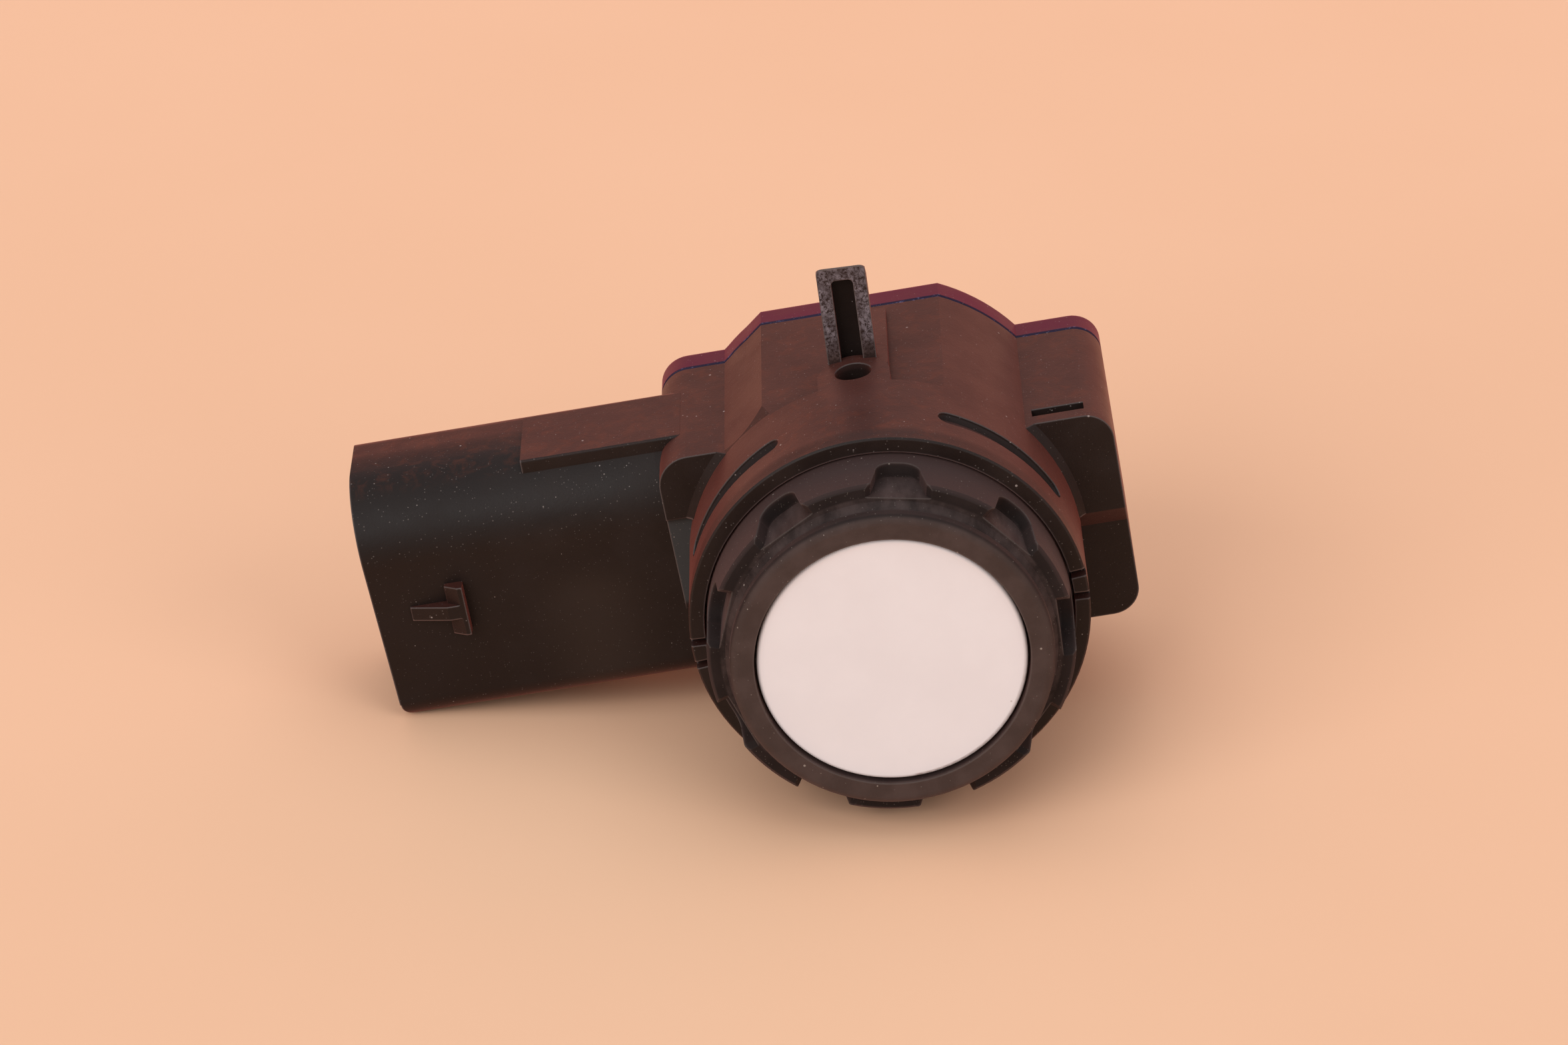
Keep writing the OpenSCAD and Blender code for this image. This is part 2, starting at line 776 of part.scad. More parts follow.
module decoupling_ring() {
  color("#3a3634")
    difference() {
      union() {
        edged_disc(lip_y, lip_y + lip_t, lip_d / 2, lip_r);
        round_y(lip_y + lip_t - 0.2, land_y + 0.2, neck_d / 2, neck_end_d / 2);
        round_y(land_y, land_y + land_bevel, land_d / 2 - land_bevel, land_d / 2);
        round_y(land_y + land_bevel, seat_y, land_d / 2);
        round_y(flange_seat, seat_y, ring_r);
      }
      for (i = [0:notch_count - 1])
        at_angle(notch_clock + i * 360 / notch_count)
          notch();
      round_y(lip_y - 1, seat_y + 1, ring_in_r);
      round_y(lip_y - 1, lip_y + lip_gap_depth, cup_r + lip_gap);
      round_y(seat_y - cup_flange_t - cup_clear, seat_y + 1, cup_flange_r + cup_clear);
    }
}

module piezo_disc() {
  color("#c9b98a")
    round_y(piezo_y, piezo_y + piezo_t, piezo_d / 2);
}

module damping_pad() {
  color("#6f6a66")
    difference() {
      round_y(damping_y, damping_y + damping_t, cup_in_r - cup_clear);
      lead_holes(damping_y - 1, damping_y + damping_t + 1);
    }
}

module seat_ring() {
  color("#7d8288")
    difference() {
      round_y(seat_y, bore_depth, ring_r);
      round_y(seat_y - 1, bore_depth + 1, cup_in_r);
    }
}

// Straight wire from y0 through the board
module lead(x, y0) {
  translate([x, 0, lead_z])
    round_y(y0, board_top + 0.6, lead_d / 2);
}

module lead_signal() {
  color("#b03a30")
    lead(signal_x, piezo_y + piezo_t);
}

module lead_ground() {
  color("#2f3a44")
    lead(ground_x, piezo_y);
}

module circuit_board() {
  color("#1f6b46")
    difference() {
      prism_y(board_y, board_top)
        cavity_outline(board_clear);
      lead_holes(board_y - 1, board_top + 1);
      for (z = pin_zs)
        translate([-pin_board_x, 0, z])
          round_y(board_y - 1, board_top + 1, pin_side * 0.75 + wire_clear);
    }
}

// Something on the rear of the board, with its own +Z away from the board
module on_board(x, z) {
  translate([x, board_top, z])
    rotate([-90, 0, 0])
      children();
}

// A flat part with a base outline and a height
module flat_part(l, w, h) {
  translate([-l / 2, -w / 2, 0])
    cube([l, w, h]);
}

resistor_x = board_r - resistor_inset;
coil_x = resistor_x - chip_part_w / 2 - coil_gap - coil_side / 2;
coil_z = 3.1;
can_x = resistor_x - chip_part_w / 2 - can_gap - can_d / 2;
can_z = -4.5;
chip_x = can_x - can_d / 2 - chip_gap - chip_side / 2;
chip_z = -4.6;
coil_flange_t = 0.8;
coil_core_r = coil_side / 4;

module control_chip() {
  legs = 6;
  leg_pitch = chip_side / (legs + 1);
  color("#26262a")
    on_board(chip_x, chip_z) {
      translate([0, 0, 0.1])
        flat_part(chip_side - 0.8, chip_side, chip_t - 0.1);
      for (side = [-1, 1], i = [1:legs])
        translate([side * (chip_side / 2 - 0.3), -chip_side / 2 + i * leg_pitch, 0])
          flat_part(0.6, leg_pitch / 2, 0.3);
    }
}

module transformer_bobbin() {
  color("#3b3f3a")
    on_board(coil_x, coil_z)
      difference() {
        union() {
          flat_part(coil_side, coil_side, coil_flange_t);
          cylinder(h = coil_h - coil_flange_t, r = coil_core_r + 0.4);
          translate([0, 0, coil_h - 2 * coil_flange_t])
            cylinder(h = coil_flange_t, d = coil_side);
        }
        translate([0, 0, -1])
          cylinder(h = coil_h + 2, r = coil_core_r);
      }
}

module transformer_winding() {
  color("#a8602c")
    on_board(coil_x, coil_z)
      translate([0, 0, coil_flange_t])
        difference() {
          cylinder(h = coil_h - 3 * coil_flange_t, d = coil_side - 0.6);
          translate([0, 0, -1])
            cylinder(h = coil_h, r = coil_core_r + 0.4 + wire_clear);
        }
}

module transformer_core() {
  color("#4a4a4e")
    on_board(coil_x, coil_z) {
      cylinder(h = coil_h - coil_flange_t, r = coil_core_r - wire_clear);
      translate([0, 0, coil_h - coil_flange_t])
        cylinder(h = coil_flange_t, d = coil_side);
    }
}

module buffer_capacitor() {
  color("#b9bcc0")
    on_board(can_x, can_z) {
      flat_part(can_d, can_d, 0.7);
      cylinder(h = can_h, d = can_d - 0.2);
    }
}

// Chip part with a metal cap at each end
module chip_part(x, z, turn = 0) {
  on_board(x, z)
    rotate(turn) {
      flat_part(chip_part_l - 0.3, chip_part_w - 0.06, chip_part_t - 0.04);
      for (side = [-1, 1])
        translate([side * (chip_part_l / 2 - 0.2), 0, 0])
          flat_part(0.4, chip_part_w, chip_part_t);
    }
}

chip_part_x = -2.6;
capacitor_z = 0.6;
resistor_z = 2.4;

module chip_capacitor_1() {
  color("#b08a5a")
    chip_part(chip_part_x, capacitor_z);
}

module chip_capacitor_2() {
  color("#b08a5a")
    chip_part(chip_part_x, capacitor_z + capacitor_pitch);
}

module chip_capacitor_3() {
  color("#b08a5a")
    chip_part(chip_part_x, capacitor_z + 2 * capacitor_pitch);
}

module chip_capacitor_4() {
  color("#b08a5a")
    chip_part(chip_part_x, capacitor_z + 3 * capacitor_pitch);
}

module chip_resistor_1() {
  color("#2b2b2e")
    chip_part(resistor_x, resistor_z, 90);
}

module chip_resistor_2() {
  color("#2b2b2e")
    chip_part(resistor_x, resistor_z - resistor_pitch, 90);
}

module chip_resistor_3() {
  color("#2b2b2e")
    chip_part(resistor_x, resistor_z - 2 * resistor_pitch, 90);
}

module diode() {
  color("#242427")
    on_board(chip_part_x, 6.7) {
      flat_part(2.6, 1.6, 1.0);
      for (side = [-1, 1])
        translate([side * 1.5, 0, 0])
          flat_part(0.5, 0.7, 0.2);
    }
}

module pin_supply() {
  color("#c8c2b4")
    terminal(pin_zs[2]);
}

module pin_signal() {
  color("#c8c2b4")
    terminal(pin_zs[1]);
}

module pin_ground() {
  color("#c8c2b4")
    terminal(pin_zs[0]);
}

housing();
rear_cover();
membrane_cup();
decoupling_ring();
piezo_disc();
damping_pad();
seat_ring();
lead_signal();
lead_ground();
circuit_board();
control_chip();
transformer_bobbin();
transformer_winding();
transformer_core();
buffer_capacitor();
chip_capacitor_1();
chip_capacitor_2();
chip_capacitor_3();
chip_capacitor_4();
chip_resistor_1();
chip_resistor_2();
chip_resistor_3();
diode();
pin_supply();
pin_signal();
pin_ground();
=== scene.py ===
import json
import math

import bpy
from mathutils import Matrix, Vector

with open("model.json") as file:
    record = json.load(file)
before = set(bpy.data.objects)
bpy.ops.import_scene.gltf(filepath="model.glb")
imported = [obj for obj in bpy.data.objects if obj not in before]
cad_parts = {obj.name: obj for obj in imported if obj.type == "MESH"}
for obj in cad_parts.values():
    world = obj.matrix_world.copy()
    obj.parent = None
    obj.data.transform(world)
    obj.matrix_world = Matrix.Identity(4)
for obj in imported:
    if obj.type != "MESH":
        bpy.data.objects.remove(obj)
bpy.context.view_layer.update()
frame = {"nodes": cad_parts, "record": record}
nodes = frame["nodes"]
scene = bpy.context.scene
scene.view_settings.view_transform = "Standard"


def mm(*v):
    """A point given in millimetres, in the scene's metres."""
    return Vector(v) / 1000


# Node trees

class Tree:
    """A material's node tree, with short calls for the nodes used here. Coordinates are millimetres."""

    def __init__(self, name):
        self.mat = bpy.data.materials.new(name)
        self.mat.use_nodes = True
        self.nt = self.mat.node_tree
        self.nt.nodes.clear()
        self.bsdf = self.node("ShaderNodeBsdfPrincipled")
        self.link(self.bsdf.outputs[0], self.node("ShaderNodeOutputMaterial").inputs["Surface"])
        self.place = self.vmath("SCALE", self.node("ShaderNodeTexCoord").outputs["Object"], scale=1000.0)

    def node(self, kind, **props):
        n = self.nt.nodes.new(kind)
        for k, v in props.items():
            setattr(n, k, v)
        return n

    def link(self, a, b):
        self.nt.links.new(a, b)

    def feed(self, socket, value):
        if isinstance(value, bpy.types.NodeSocket):
            self.link(value, socket)
        else:
            socket.default_value = value

    def vmath(self, op, a, b=None, scale=None):
        n = self.node("ShaderNodeVectorMath", operation=op)
        self.feed(n.inputs[0], a)
        if b is not None:
            self.feed(n.inputs[1], b)
        if scale is not None:
            n.inputs["Scale"].default_value = scale
        return n.outputs["Value"] if op in ("DOT_PRODUCT", "LENGTH") else n.outputs["Vector"]

    def math(self, op, a, b=0.0):
        n = self.node("ShaderNodeMath", operation=op)
        self.feed(n.inputs[0], a)
        self.feed(n.inputs[1], b)
        return n.outputs[0]

    def axis(self, letter):
        n = self.node("ShaderNodeSeparateXYZ")
        self.link(self.place, n.inputs[0])
        return n.outputs[letter]

    def noise(self, scale, detail=3.0, rough=0.55, squeeze=None, distort=0.0):
        n = self.node("ShaderNodeTexNoise")
        where = self.place if squeeze is None else self.vmath("MULTIPLY", self.place, squeeze)
        self.link(where, n.inputs["Vector"])
        n.inputs["Scale"].default_value = scale
        n.inputs["Detail"].default_value = detail
        n.inputs["Roughness"].default_value = rough
        n.inputs["Distortion"].default_value = distort
        return n.outputs["Fac"]

    def ramp(self, value, low, high, to_low=0.0, to_high=1.0):
        n = self.node("ShaderNodeMapRange", interpolation_type="SMOOTHSTEP")
        for i, v in enumerate((value, low, high, to_low, to_high)):
            self.feed(n.inputs[i], v)
        return n.outputs[0]

    def mix(self, fac, a, b):
        n = self.node("ShaderNodeMix", data_type="RGBA")
        self.feed(n.inputs["Factor"], fac)
        for socket, v in ((n.inputs[6], a), (n.inputs[7], b)):
            self.feed(socket, v if isinstance(v, bpy.types.NodeSocket) else (*v, 1.0))
        return n.outputs[2]

    def specks(self, per_mm, size, share):
        """Round grains in a share of the cells of a grid of per_mm cells a millimetre; size is in cells."""
        n = self.node("ShaderNodeTexVoronoi")
        self.link(self.place, n.inputs["Vector"])
        n.inputs["Scale"].default_value = per_mm
        parts = self.node("ShaderNodeSeparateColor")
        self.link(n.outputs["Color"], parts.inputs[0])
        grow = self.math("MULTIPLY", parts.outputs[1], size)
        inside = self.math("LESS_THAN", n.outputs["Distance"], grow)
        chosen = self.math("LESS_THAN", parts.outputs[0], share)
        return self.math("MULTIPLY", inside, chosen)

    def outer(self, reach_mm):
        """0 on flat faces, more towards an outer edge: what rays to the inside meet within the reach."""
        n = self.node("ShaderNodeAmbientOcclusion", samples=8, inside=True, only_local=True)
        n.inputs["Distance"].default_value = reach_mm / 1000
        return self.math("SUBTRACT", 1.0, n.outputs["AO"])

    def edges(self, radius_mm, gain, front_only=False):
        """A normal rounded on outer edges, or only on those that look to the front, and their mask, for
        edges painted paler as highlight and wear.
        """
        n = self.node("ShaderNodeBevel", samples=6)
        n.inputs["Radius"].default_value = radius_mm / 1000
        flat = self.node("ShaderNodeNewGeometry").outputs["Normal"]
        outer = self.outer(radius_mm)
        share = self.ramp(outer, 0.0, 0.1)
        mask = self.ramp(outer, 0.1, 0.45, 0.0, gain)
        if front_only:
            front = self.ramp(self.vmath("DOT_PRODUCT", n.outputs[0], (0.0, -1.0, 0.0)), 0.05, 0.25)
            share = self.math("MULTIPLY", share, front)
            mask = self.math("MULTIPLY", mask, front)
        blend = self.node("ShaderNodeMix", data_type="VECTOR")
        for i, v in ((0, share), (4, flat), (5, n.outputs[0])):
            self.feed(blend.inputs[i], v)
        return self.vmath("NORMALIZE", blend.outputs[1]), mask

    def bump(self, height, strength, depth_mm, normal=None):
        n = self.node("ShaderNodeBump")
        n.inputs["Strength"].default_value = strength
        n.inputs["Distance"].default_value = depth_mm / 1000
        self.feed(n.inputs["Height"], height)
        if normal is not None:
            self.link(normal, n.inputs["Normal"])
        return n.outputs[0]

    def finish(self, color, rough, normal=None, metal=0.0, **sockets):
        b = self.bsdf
        self.link(color, b.inputs["Base Color"])
        self.feed(b.inputs["Roughness"], rough)
        b.inputs["Metallic"].default_value = metal
        if normal is not None:
            self.link(normal, b.inputs["Normal"])
        for k, v in sockets.items():
            self.feed(b.inputs[k.replace("_", " ")], v)
        return self.mat


# Places on the sensor, in millimetres. A pair is where a soft change starts and ends. A patch has its low
# side, its high side and their softness along each axis.
SEAM_Y = 20.7
RIM_Y = (-0.2, 1.5)
TOPS_Z = (1.5, 3.0)
GROOVES = {"Y": (2.8, 4.4, 0.05)}
GROOVE_R = (11.62, 11.5)
GROOVE_LEAST_R = 11.0
CONNECTOR_X = -12.7
CONNECTOR_END_X = (-18.0, -26.0)
CONNECTOR_LOWER_Z = (2.5, -0.5)
CONNECTOR_TOP_Z = 8.31
CONNECTOR_FALL_Y = (10.2, 16.2)
CONNECTOR_NEAR_BARREL = {"X": (-20.0, -15.5, 2.5)}
TAB_FRONT = {"Y": (10.7, 11.6, 0.1)}
TAB_FOOT_Z = (11.6, 12.1)
TAB_PALER_Z = (11.8, 13.8)
GUSSET = {"X": (-12.6, -9.8, 0.1), "Z": (-2.0, 4.3, 0.4), "Y": (8.6, 9.44, 0.03)}
COLLAR_UNDER_TAB = {"X": (-1.6, 1.6, 0.9), "Y": (4.6, 10.9, 1.6)}
COLLAR_CREST_Z = (11.2, 11.5)
NECK = {"Y": (-4.4, -1.1, 0.15)}
NECK_R = (9.95, 9.78)
FLANGE_R = (10.40, 10.60)
LIP_FRONT_Y = (-5.05, -5.30)


def weld_line(t, color, normal):
    """The thin blue-violet step that the laser weld leaves at the seam, with a few burrs painted pale as
    glints.
    """
    past = t.math("SUBTRACT", t.axis("Y"), SEAM_Y)
    off = t.math("ABSOLUTE", past)
    wander = t.ramp(t.noise(1.3, 2.0), 0.3, 0.7, 0.11, 0.19)
    line = t.math("LESS_THAN", off, wander)
    burr_glint = t.math("MULTIPLY", line, t.ramp(t.noise(2.6, 3.0, 0.7), 0.58, 0.66))
    color = t.mix(line, color, (0.008, 0.005, 0.036))
    # painted glints: the burrs along the line are painted pale
    color = t.mix(t.math("MULTIPLY", burr_glint, 0.6), color, (0.20, 0.17, 0.34))
    return color, t.bump(t.ramp(past, -0.18, 0.18), 1.0, 0.35, normal)


def patch(t, spans):
    """1 inside a patch, 0 outside, with soft sides."""
    mask = None
    for letter, (low, high, soft) in spans.items():
        value = t.axis(letter)
        for side in (t.ramp(value, low - soft, low + soft), t.ramp(value, high + soft, high - soft)):
            mask = side if mask is None else t.math("MULTIPLY", mask, side)
    return mask


def from_axis(t):
    """Distance from the sensor axis, in millimetres."""
    return t.vmath("LENGTH", t.vmath("MULTIPLY", t.place, (1.0, 0.0, 1.0)))


def dust(t, color, tint, amount):
    """Pale grains of three sizes on a colour."""
    color = t.mix(t.math("MULTIPLY", t.specks(1.3, 0.10, 0.22), amount), color, tint)
    color = t.mix(t.math("MULTIPLY", t.specks(3.6, 0.17, 0.10), 0.7 * amount), color, tint)
    return t.mix(t.math("MULTIPLY", t.specks(7.0, 0.30, 0.22), 0.25 * amount), color, tint)


def plastic_tones(t, color):
    """Tones of the black moulding: painted light and shade on the connector, painted sheen on the tops, the
    scuffed tab, painted light on the gusset, a painted reflection on the collar and painted light in the
    grooves.
    """
    # painted light and shade: the connector is painted darkest at its open end and paler near the barrel,
    # for how the light falls along it
    color = t.mix(t.ramp(t.axis("X"), *CONNECTOR_END_X, 0.0, 0.75), color, (0.0066, 0.0042, 0.0034))
    paler = t.math("MULTIPLY", patch(t, CONNECTOR_NEAR_BARREL), t.ramp(t.axis("Z"), *CONNECTOR_LOWER_Z))
    color = t.mix(paler, color, (0.0225, 0.0155, 0.0125))
    # painted sheen: upward faces high on the moulding get orange-brown patches, standing in for the mottled
    # warm sheen on the tops
    facing = t.node("ShaderNodeNewGeometry").outputs["Normal"]
    upward = t.ramp(t.vmath("DOT_PRODUCT", facing, (0.0, 0.0, 1.0)), 0.8, 0.98)
    mottled_painted_sheen = t.ramp(t.noise(0.9, 6.0, 0.72, distort=0.6), 0.46, 0.68)
    mottled_painted_sheen = t.math("MULTIPLY", mottled_painted_sheen, t.ramp(t.axis("Z"), *TOPS_Z, 0.0, 0.75))
    color = t.mix(t.math("MULTIPLY", upward, mottled_painted_sheen), color, (0.048, 0.0135, 0.0070))
    # the glass-filled skin is scuffed on the front of the tab
    patchy = t.ramp(t.noise(1.3, 4.0, 0.6), 0.34, 0.62, 0.35, 1.0)
    patchy = t.math("MULTIPLY", patchy, t.ramp(t.noise(6.0, 5.0, 0.75), 0.38, 0.60))
    tab = t.math("MULTIPLY", t.ramp(t.axis("Z"), *TAB_FOOT_Z), patch(t, TAB_FRONT))
    scuff = t.mix(t.ramp(t.axis("Z"), *TAB_PALER_Z), (0.115, 0.076, 0.070), (0.285, 0.246, 0.276))
    color = t.mix(t.math("MULTIPLY", tab, patchy), color, scuff)
    # painted light: the left wing's gusset is painted paler and greyer than the moulding, for the light it
    # catches
    color = t.mix(t.math("MULTIPLY", patch(t, GUSSET), 0.8), color, (0.047, 0.056, 0.060))
    # painted reflection: the collar is painted paler under the tab, to offset the tab's mirror image there,
    # which hides the warm reflection
    painted_reflection_under_tab = t.math("MULTIPLY", patch(t, COLLAR_UNDER_TAB), t.ramp(t.axis("Z"), *COLLAR_CREST_Z))
    color = t.mix(t.math("MULTIPLY", painted_reflection_under_tab, 0.8), color, (0.034, 0.0170, 0.0145))
    # painted light: the grooves round the barrel are painted paler inside, standing in for light on their
    # rounded floors
    turned = from_axis(t)
    groove_painted_light = t.math("MULTIPLY", t.ramp(turned, *GROOVE_R), patch(t, GROOVES))
    groove_painted_light = t.math("MULTIPLY", groove_painted_light, t.math("GREATER_THAN", turned, GROOVE_LEAST_R))
    return t.mix(groove_painted_light, color, (0.034, 0.028, 0.027))


def black_plastic():
    t = Tree("black_plastic")
    normal, edge = t.edges(0.13, 0.8, front_only=True)
    cloud = t.noise(0.35, 4.0)
    grain = t.noise(8.0, 4.0, 0.65)
    color = t.mix(t.ramp(cloud, 0.35, 0.7), (0.0098, 0.0066, 0.0055), (0.0145, 0.0098, 0.0083))
    color = t.mix(t.math("MULTIPLY", t.ramp(grain, 0.55, 0.75), 0.35), color, (0.024, 0.019, 0.018))
    color, normal = weld_line(t, plastic_tones(t, color), normal)
    # painted highlight and wear: outer edges that look to the front are painted paler
    color = t.mix(edge, color, (0.125, 0.100, 0.096))
    color = dust(t, color, (0.34, 0.29, 0.27), 0.8)
    rough = t.ramp(cloud, 0.3, 0.75, 0.42, 0.54)
    rough = t.math("SUBTRACT", rough, t.math("MULTIPLY", edge, 0.10))
    height = t.math("ADD", grain, t.math("MULTIPLY", t.noise(2.2, 3.0), 0.7))
    normal = t.bump(height, 0.5, 0.02, normal)
    # the connector's top falls a little to the front, apart from the lifted pad
    top = t.math("LESS_THAN", t.axis("X"), CONNECTOR_X)
    top = t.math("MULTIPLY", top, t.math("LESS_THAN", t.axis("Z"), CONNECTOR_TOP_Z))
    fall = t.math("MULTIPLY", top, t.ramp(t.axis("Y"), *CONNECTOR_FALL_Y))
    normal = t.bump(fall, 1.0, 0.9, normal)
    # the barrel draws in a little towards its rim
    normal = t.bump(t.ramp(t.axis("Y"), *RIM_Y), 1.0, 0.12, normal)
    return t.finish(color, rough, normal, Specular_IOR_Level=0.2, Sheen_Weight=0.29, Sheen_Roughness=0.45,
                    Sheen_Tint=(0.92, 0.24, 0.18, 1.0))


def maroon_plastic():
    t = Tree("maroon_plastic")
    normal, edge = t.edges(0.20, 0.35)
    cloud = t.noise(0.5, 4.0)
    color = t.mix(t.ramp(cloud, 0.35, 0.7), (0.047, 0.0022, 0.0160), (0.061, 0.0040, 0.0225))
    color, normal = weld_line(t, color, normal)
    # painted highlight and wear: outer edges are painted paler
    color = t.mix(edge, color, (0.19, 0.080, 0.105))
    color = dust(t, color, (0.40, 0.30, 0.31), 0.8)
    grain = t.noise(9.0, 4.0, 0.65)
    rough = t.ramp(cloud, 0.3, 0.75, 0.40, 0.52)
    normal = t.bump(grain, 0.3, 0.015, normal)
    return t.finish(color, rough, normal, Specular_IOR_Level=0.2, Sheen_Weight=0.26, Sheen_Roughness=0.45,
                    Sheen_Tint=(1.0, 0.05, 0.16, 1.0))


def black_rubber():
    t = Tree("black_rubber")
    normal, edge = t.edges(0.14, 0.6, front_only=True)
    cloud = t.noise(0.6, 4.0)
    grain = t.noise(11.0, 4.0, 0.7)
    color = t.mix(t.ramp(cloud, 0.35, 0.7), (0.0140, 0.0098, 0.0092), (0.0205, 0.0142, 0.0132))
    # dust lies on the neck and on the notches' floors, in streaks along the axis
    turned = from_axis(t)
    low = t.math("MULTIPLY", t.ramp(turned, *NECK_R), patch(t, NECK))
    # painted sheen: the lands round the flange are painted paler all round, standing in for the sheen on
    # their tops
    high = t.math("MULTIPLY", t.ramp(turned, *FLANGE_R), 0.85)
    color = t.mix(high, color, (0.036, 0.0225, 0.0215))
    streak = t.ramp(t.noise(1.0, 5.0, 0.6, squeeze=(1.0, 0.3, 1.0)), 0.25, 0.75)
    color = t.mix(t.math("MULTIPLY", low, t.math("MULTIPLY", streak, 0.8)), color, (0.066, 0.046, 0.043))
    # the flat front of the lip is rubbed paler than the rest
    rubbed = t.ramp(t.axis("Y"), *LIP_FRONT_Y)
    pale = t.mix(t.ramp(cloud, 0.35, 0.7), (0.048, 0.0320, 0.0280), (0.064, 0.0435, 0.0390))
    color = t.mix(rubbed, color, pale)
    # painted highlight and wear: outer edges that look to the front are painted paler
    color = t.mix(edge, color, (0.115, 0.090, 0.082))
    color = dust(t, color, (0.30, 0.26, 0.23), 0.75)
    rough = t.ramp(cloud, 0.3, 0.75, 0.66, 0.80)
    normal = t.bump(grain, 0.35, 0.02, normal)
    return t.finish(color, rough, normal, Specular_IOR_Level=0.12, Sheen_Weight=0.12, Sheen_Roughness=0.5,
                    Sheen_Tint=(1.0, 0.55, 0.50, 1.0))


def painted_aluminium():
    t = Tree("painted_aluminium")
    normal, edge = t.edges(0.12, 0.3)
    cloud = t.noise(0.25, 4.0)
    peel = t.noise(1.6, 3.0)
    color = t.mix(t.ramp(cloud, 0.3, 0.75), (0.735, 0.712, 0.742), (0.760, 0.737, 0.767))
    # a few faint grey smudges on the paint
    smudge = t.ramp(t.noise(0.9, 5.0, 0.7, distort=1.5), 0.66, 0.78)
    color = t.mix(t.math("MULTIPLY", smudge, 0.10), color, (0.50, 0.46, 0.45))
    color = t.mix(t.math("MULTIPLY", t.specks(0.8, 0.06, 0.08), 0.5), color, (0.36, 0.30, 0.28))
    rough = t.ramp(cloud, 0.3, 0.75, 0.42, 0.52)
    return t.finish(color, rough, t.bump(peel, 0.12, 0.01, normal))


def moulded(name, dark, light, rough, grain=7.0, depth=0.02, metal=0.0):
    """A plain two-tone surface with a fine grain and edges painted paler as highlight and wear, for the
    pieces inside.
    """
    t = Tree(name)
    normal, edge = t.edges(0.05, 0.3)
    cloud = t.noise(0.9, 4.0)
    color = t.mix(t.ramp(cloud, 0.35, 0.7), dark, light)
    # painted highlight and wear: outer edges are painted paler
    color = t.mix(edge, color, tuple(min(1.0, 1.5 * c + 0.03) for c in light))
    height = t.noise(grain, 4.0, 0.65)
    varied = t.ramp(cloud, 0.3, 0.75, rough - 0.06, rough + 0.06)
    return t.finish(color, varied, t.bump(height, 0.3, depth, normal), metal=metal)


def copper_wire():
    t = Tree("copper_wire")
    turns = t.node("ShaderNodeTexWave", wave_type="BANDS", bands_direction="Y")
    t.link(t.place, turns.inputs["Vector"])
    turns.inputs["Scale"].default_value = 2.2
    turns.inputs["Distortion"].default_value = 0.4
    color = t.mix(turns.outputs["Fac"], (0.34, 0.13, 0.05), (0.62, 0.28, 0.12))
    return t.finish(color, 0.32, t.bump(turns.outputs["Fac"], 0.8, 0.06), metal=0.8)


def laminate():
    t = Tree("green_laminate")
    weave = t.node("ShaderNodeTexBrick", offset=0.5)
    t.link(t.vmath("MULTIPLY", t.place, (1.0, 0.0, 1.0)), weave.inputs["Vector"])
    greens = {"Color1": (0.016, 0.13, 0.060), "Color2": (0.020, 0.16, 0.075), "Mortar": (0.030, 0.21, 0.10)}
    for k, v in greens.items():
        weave.inputs[k].default_value = (*v, 1)
    for k, v in (("Scale", 0.9), ("Mortar Size", 0.05), ("Brick Width", 1.1), ("Row Height", 0.5)):
        weave.inputs[k].default_value = v
    cloud = t.ramp(t.noise(1.5, 3.0), 0.4, 0.7, 0.0, 0.5)
    color = t.mix(cloud, weave.outputs["Color"], (0.012, 0.10, 0.050))
    return t.finish(color, 0.38, t.bump(weave.outputs["Fac"], 0.3, 0.02))


MATERIALS = {
    "black_plastic": black_plastic(),
    "maroon_plastic": maroon_plastic(),
    "painted_aluminium": painted_aluminium(),
    "black_rubber": black_rubber(),
    "piezo_ceramic": moulded("piezo_ceramic", (0.56, 0.54, 0.48), (0.70, 0.68, 0.62), 0.35, metal=0.7),
    "grey_foam": moulded("grey_foam", (0.15, 0.14, 0.135), (0.23, 0.22, 0.21), 0.9, grain=3.0, depth=0.15),
    "grey_silicone": moulded("grey_silicone", (0.27, 0.29, 0.31), (0.34, 0.36, 0.38), 0.6),
    "red_insulation": moulded("red_insulation", (0.40, 0.035, 0.028), (0.52, 0.06, 0.045), 0.45),
    "dark_insulation": moulded("dark_insulation", (0.035, 0.042, 0.050), (0.06, 0.07, 0.08), 0.45),
    "green_laminate": laminate(),
    "chip_resin": moulded("chip_resin", (0.018, 0.018, 0.020), (0.034, 0.034, 0.036), 0.6),
    "bobbin_plastic": moulded("bobbin_plastic", (0.040, 0.044, 0.040), (0.065, 0.070, 0.065), 0.5),
    "copper_wire": copper_wire(),
    "ferrite": moulded("ferrite", (0.07, 0.07, 0.074), (0.12, 0.12, 0.125), 0.5, grain=12.0),
    "bare_aluminium": moulded("bare_aluminium", (0.60, 0.61, 0.62), (0.72, 0.73, 0.74), 0.3, metal=1.0),
    "capacitor_ceramic": moulded("capacitor_ceramic", (0.36, 0.23, 0.12), (0.46, 0.31, 0.17), 0.5),
    "resistor_film": moulded("resistor_film", (0.025, 0.025, 0.027), (0.05, 0.05, 0.052), 0.4),
    "tinned_brass": moulded("tinned_brass", (0.58, 0.55, 0.48), (0.70, 0.67, 0.60), 0.28, metal=1.0),
}

slots = {s["node"]: s["material_slot"] for s in frame["record"]["subparts"]}
for name, obj in nodes.items():
    obj.data.materials.clear()
    obj.data.materials.append(MATERIALS[slots[name]])


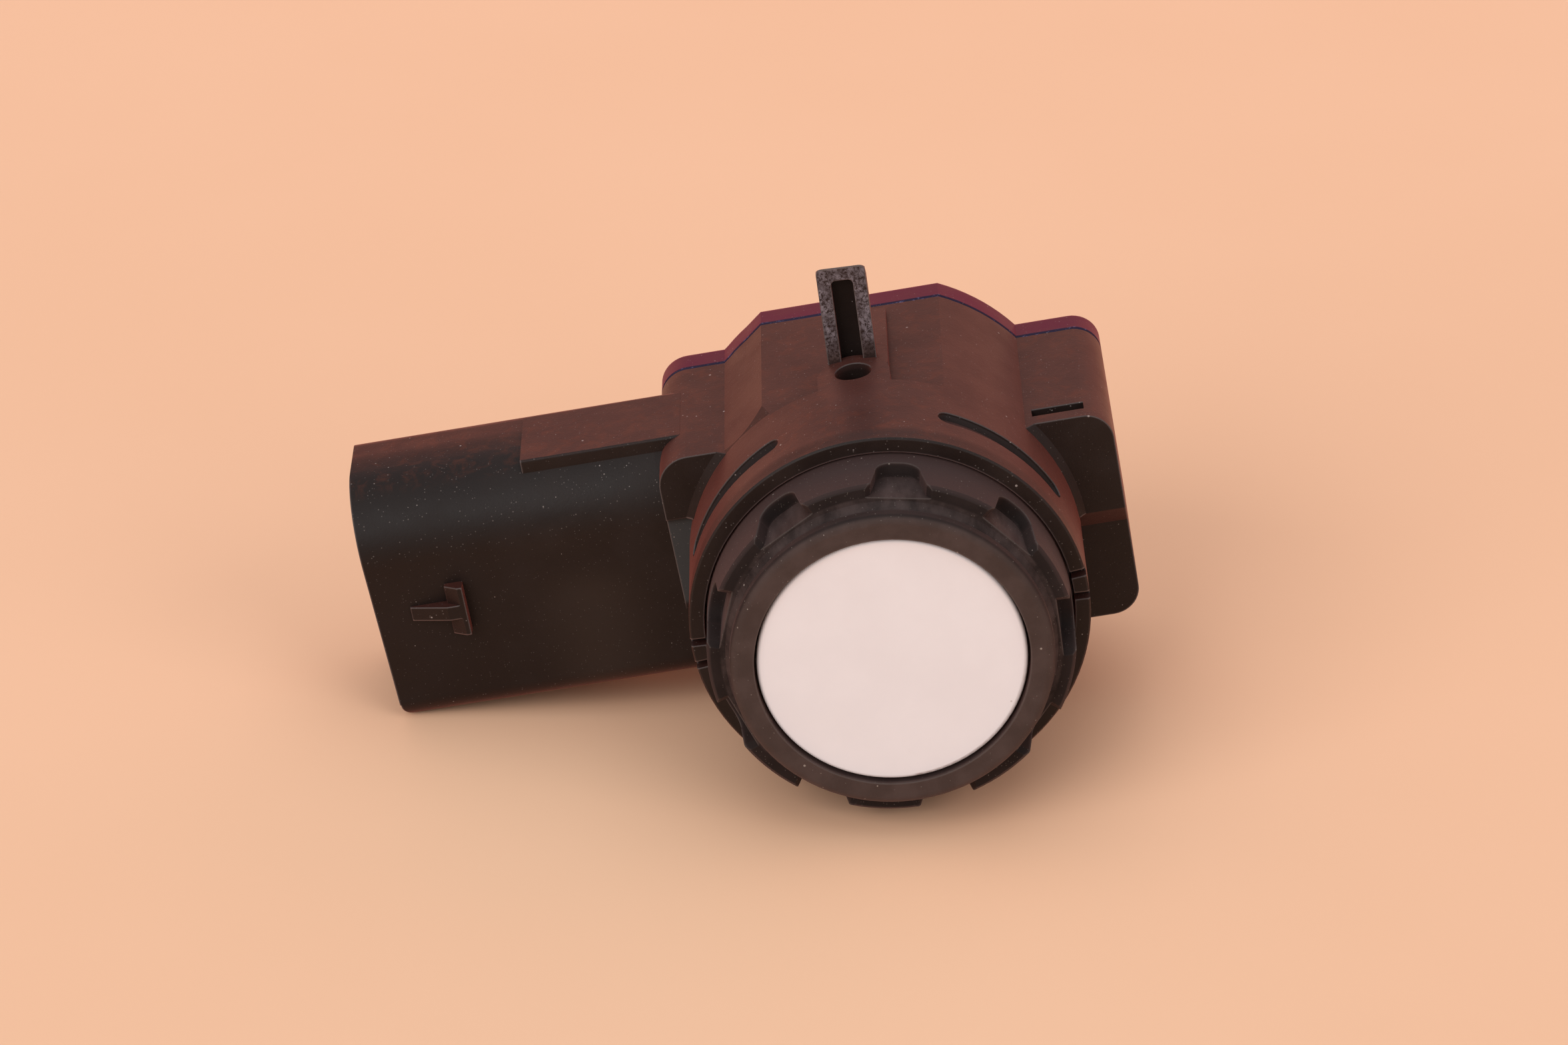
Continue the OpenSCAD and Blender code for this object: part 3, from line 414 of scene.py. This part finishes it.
# Stage: the sensor lies on its barrel and on the connector's lower edge, so the floor leans in its frame
TILT = math.radians(9.87)
FLOOR_DROP = 0.01172
FLOOR_HALF = 3.0
up = Vector((math.sin(TILT), 0, math.cos(TILT)))
across = Vector((math.cos(TILT), 0, -math.sin(TILT)))
back = Vector((0, 1, 0))


def standing(x, y, z):
    """A point in the floor's frame: metres across, back and up from the floor under the sensor axis."""
    return across * x + back * y + up * (z - FLOOR_DROP)


mesh = bpy.data.meshes.new("floor")
corners = [standing(x * FLOOR_HALF, y * FLOOR_HALF, 0) for x, y in ((-1, -1), (1, -1), (1, 1), (-1, 1))]
mesh.from_pydata(corners, [], [(0, 1, 2, 3)])
floor = bpy.data.objects.new("floor", mesh)
scene.collection.objects.link(floor)
t = Tree("floor_paper")
tone = t.mix(t.ramp(t.noise(0.02, 3.0), 0.35, 0.65), (0.920, 0.558, 0.358), (0.930, 0.568, 0.368))
mesh.materials.append(t.finish(tone, 0.75, Specular_IOR_Level=0.2))


# Light: a slightly blue softbox overhead, two plain ones in front, and a low orange-red one behind, which
# gives the black plastic its brown tops
def softbox(name, at, aim, size, power, color):
    """A rectangular lamp at one point that looks at another. Its size is in metres, its power in watts."""
    data = bpy.data.lights.new(name, "AREA")
    data.shape = "RECTANGLE"
    data.size, data.size_y = size
    data.energy = power
    data.color = color
    obj = bpy.data.objects.new(name, data)
    obj.location = at
    obj.rotation_mode = "QUATERNION"
    obj.rotation_quaternion = (aim - at).to_track_quat("-Z", "Y")
    obj.visible_camera = False
    scene.collection.objects.link(obj)


middle = mm(-6, 8, 0)
PLAIN = (1.0, 0.99, 0.99)
COOL = (0.80, 0.92, 1.0)
ORANGE_RED = (1.0, 0.24, 0.12)
softbox("overhead", standing(0.0, 0.30, 1.20), standing(0.0, 0.30, 0.0), (2.0, 1.2), 6.5, COOL)
softbox("front_left", standing(-1.40, -1.80, 1.40), middle, (1.80, 1.80), 39.0, PLAIN)
softbox("front_right", standing(1.60, -1.60, 1.20), middle, (1.60, 1.60), 16.0, PLAIN)
softbox("warm_back", standing(0.0, 0.60, 0.22), standing(0.0, 0.0, 0.22), (2.0, 0.44), 2.4, ORANGE_RED)

world = bpy.data.worlds.new("studio")
scene.world = world
world.use_nodes = True
sky = world.node_tree.nodes["Background"]
sky.inputs["Color"].default_value = (1.0, 0.95, 0.92, 1.0)
sky.inputs["Strength"].default_value = 0.34


# Camera, fitted to the circles of the face, the lip and the rim
PHOTO_WIDTH_PX = 2353
FOCAL_PX = 7800
CAMERA_AT = mm(16.16, -266.97, 140.97)
CAMERA_RIGHT = (0.9847, -0.0091, -0.1737)
CAMERA_FORWARD = (-0.0706, 0.8919, -0.4466)
cam = bpy.data.cameras.new("camera")
cam.sensor_fit = "HORIZONTAL"
cam.sensor_width = 36.0
cam.lens = cam.sensor_width * FOCAL_PX / PHOTO_WIDTH_PX
cam.clip_start, cam.clip_end = 0.01, 20
camera = bpy.data.objects.new("camera", cam)
right = Vector(CAMERA_RIGHT).normalized()
forward = Vector(CAMERA_FORWARD).normalized()
right = (right - forward * right.dot(forward)).normalized()
above = right.cross(forward)
turn = Matrix((right, above, -forward)).transposed().to_4x4()
camera.matrix_world = Matrix.Translation(CAMERA_AT) @ turn
scene.collection.objects.link(camera)
scene.camera = camera
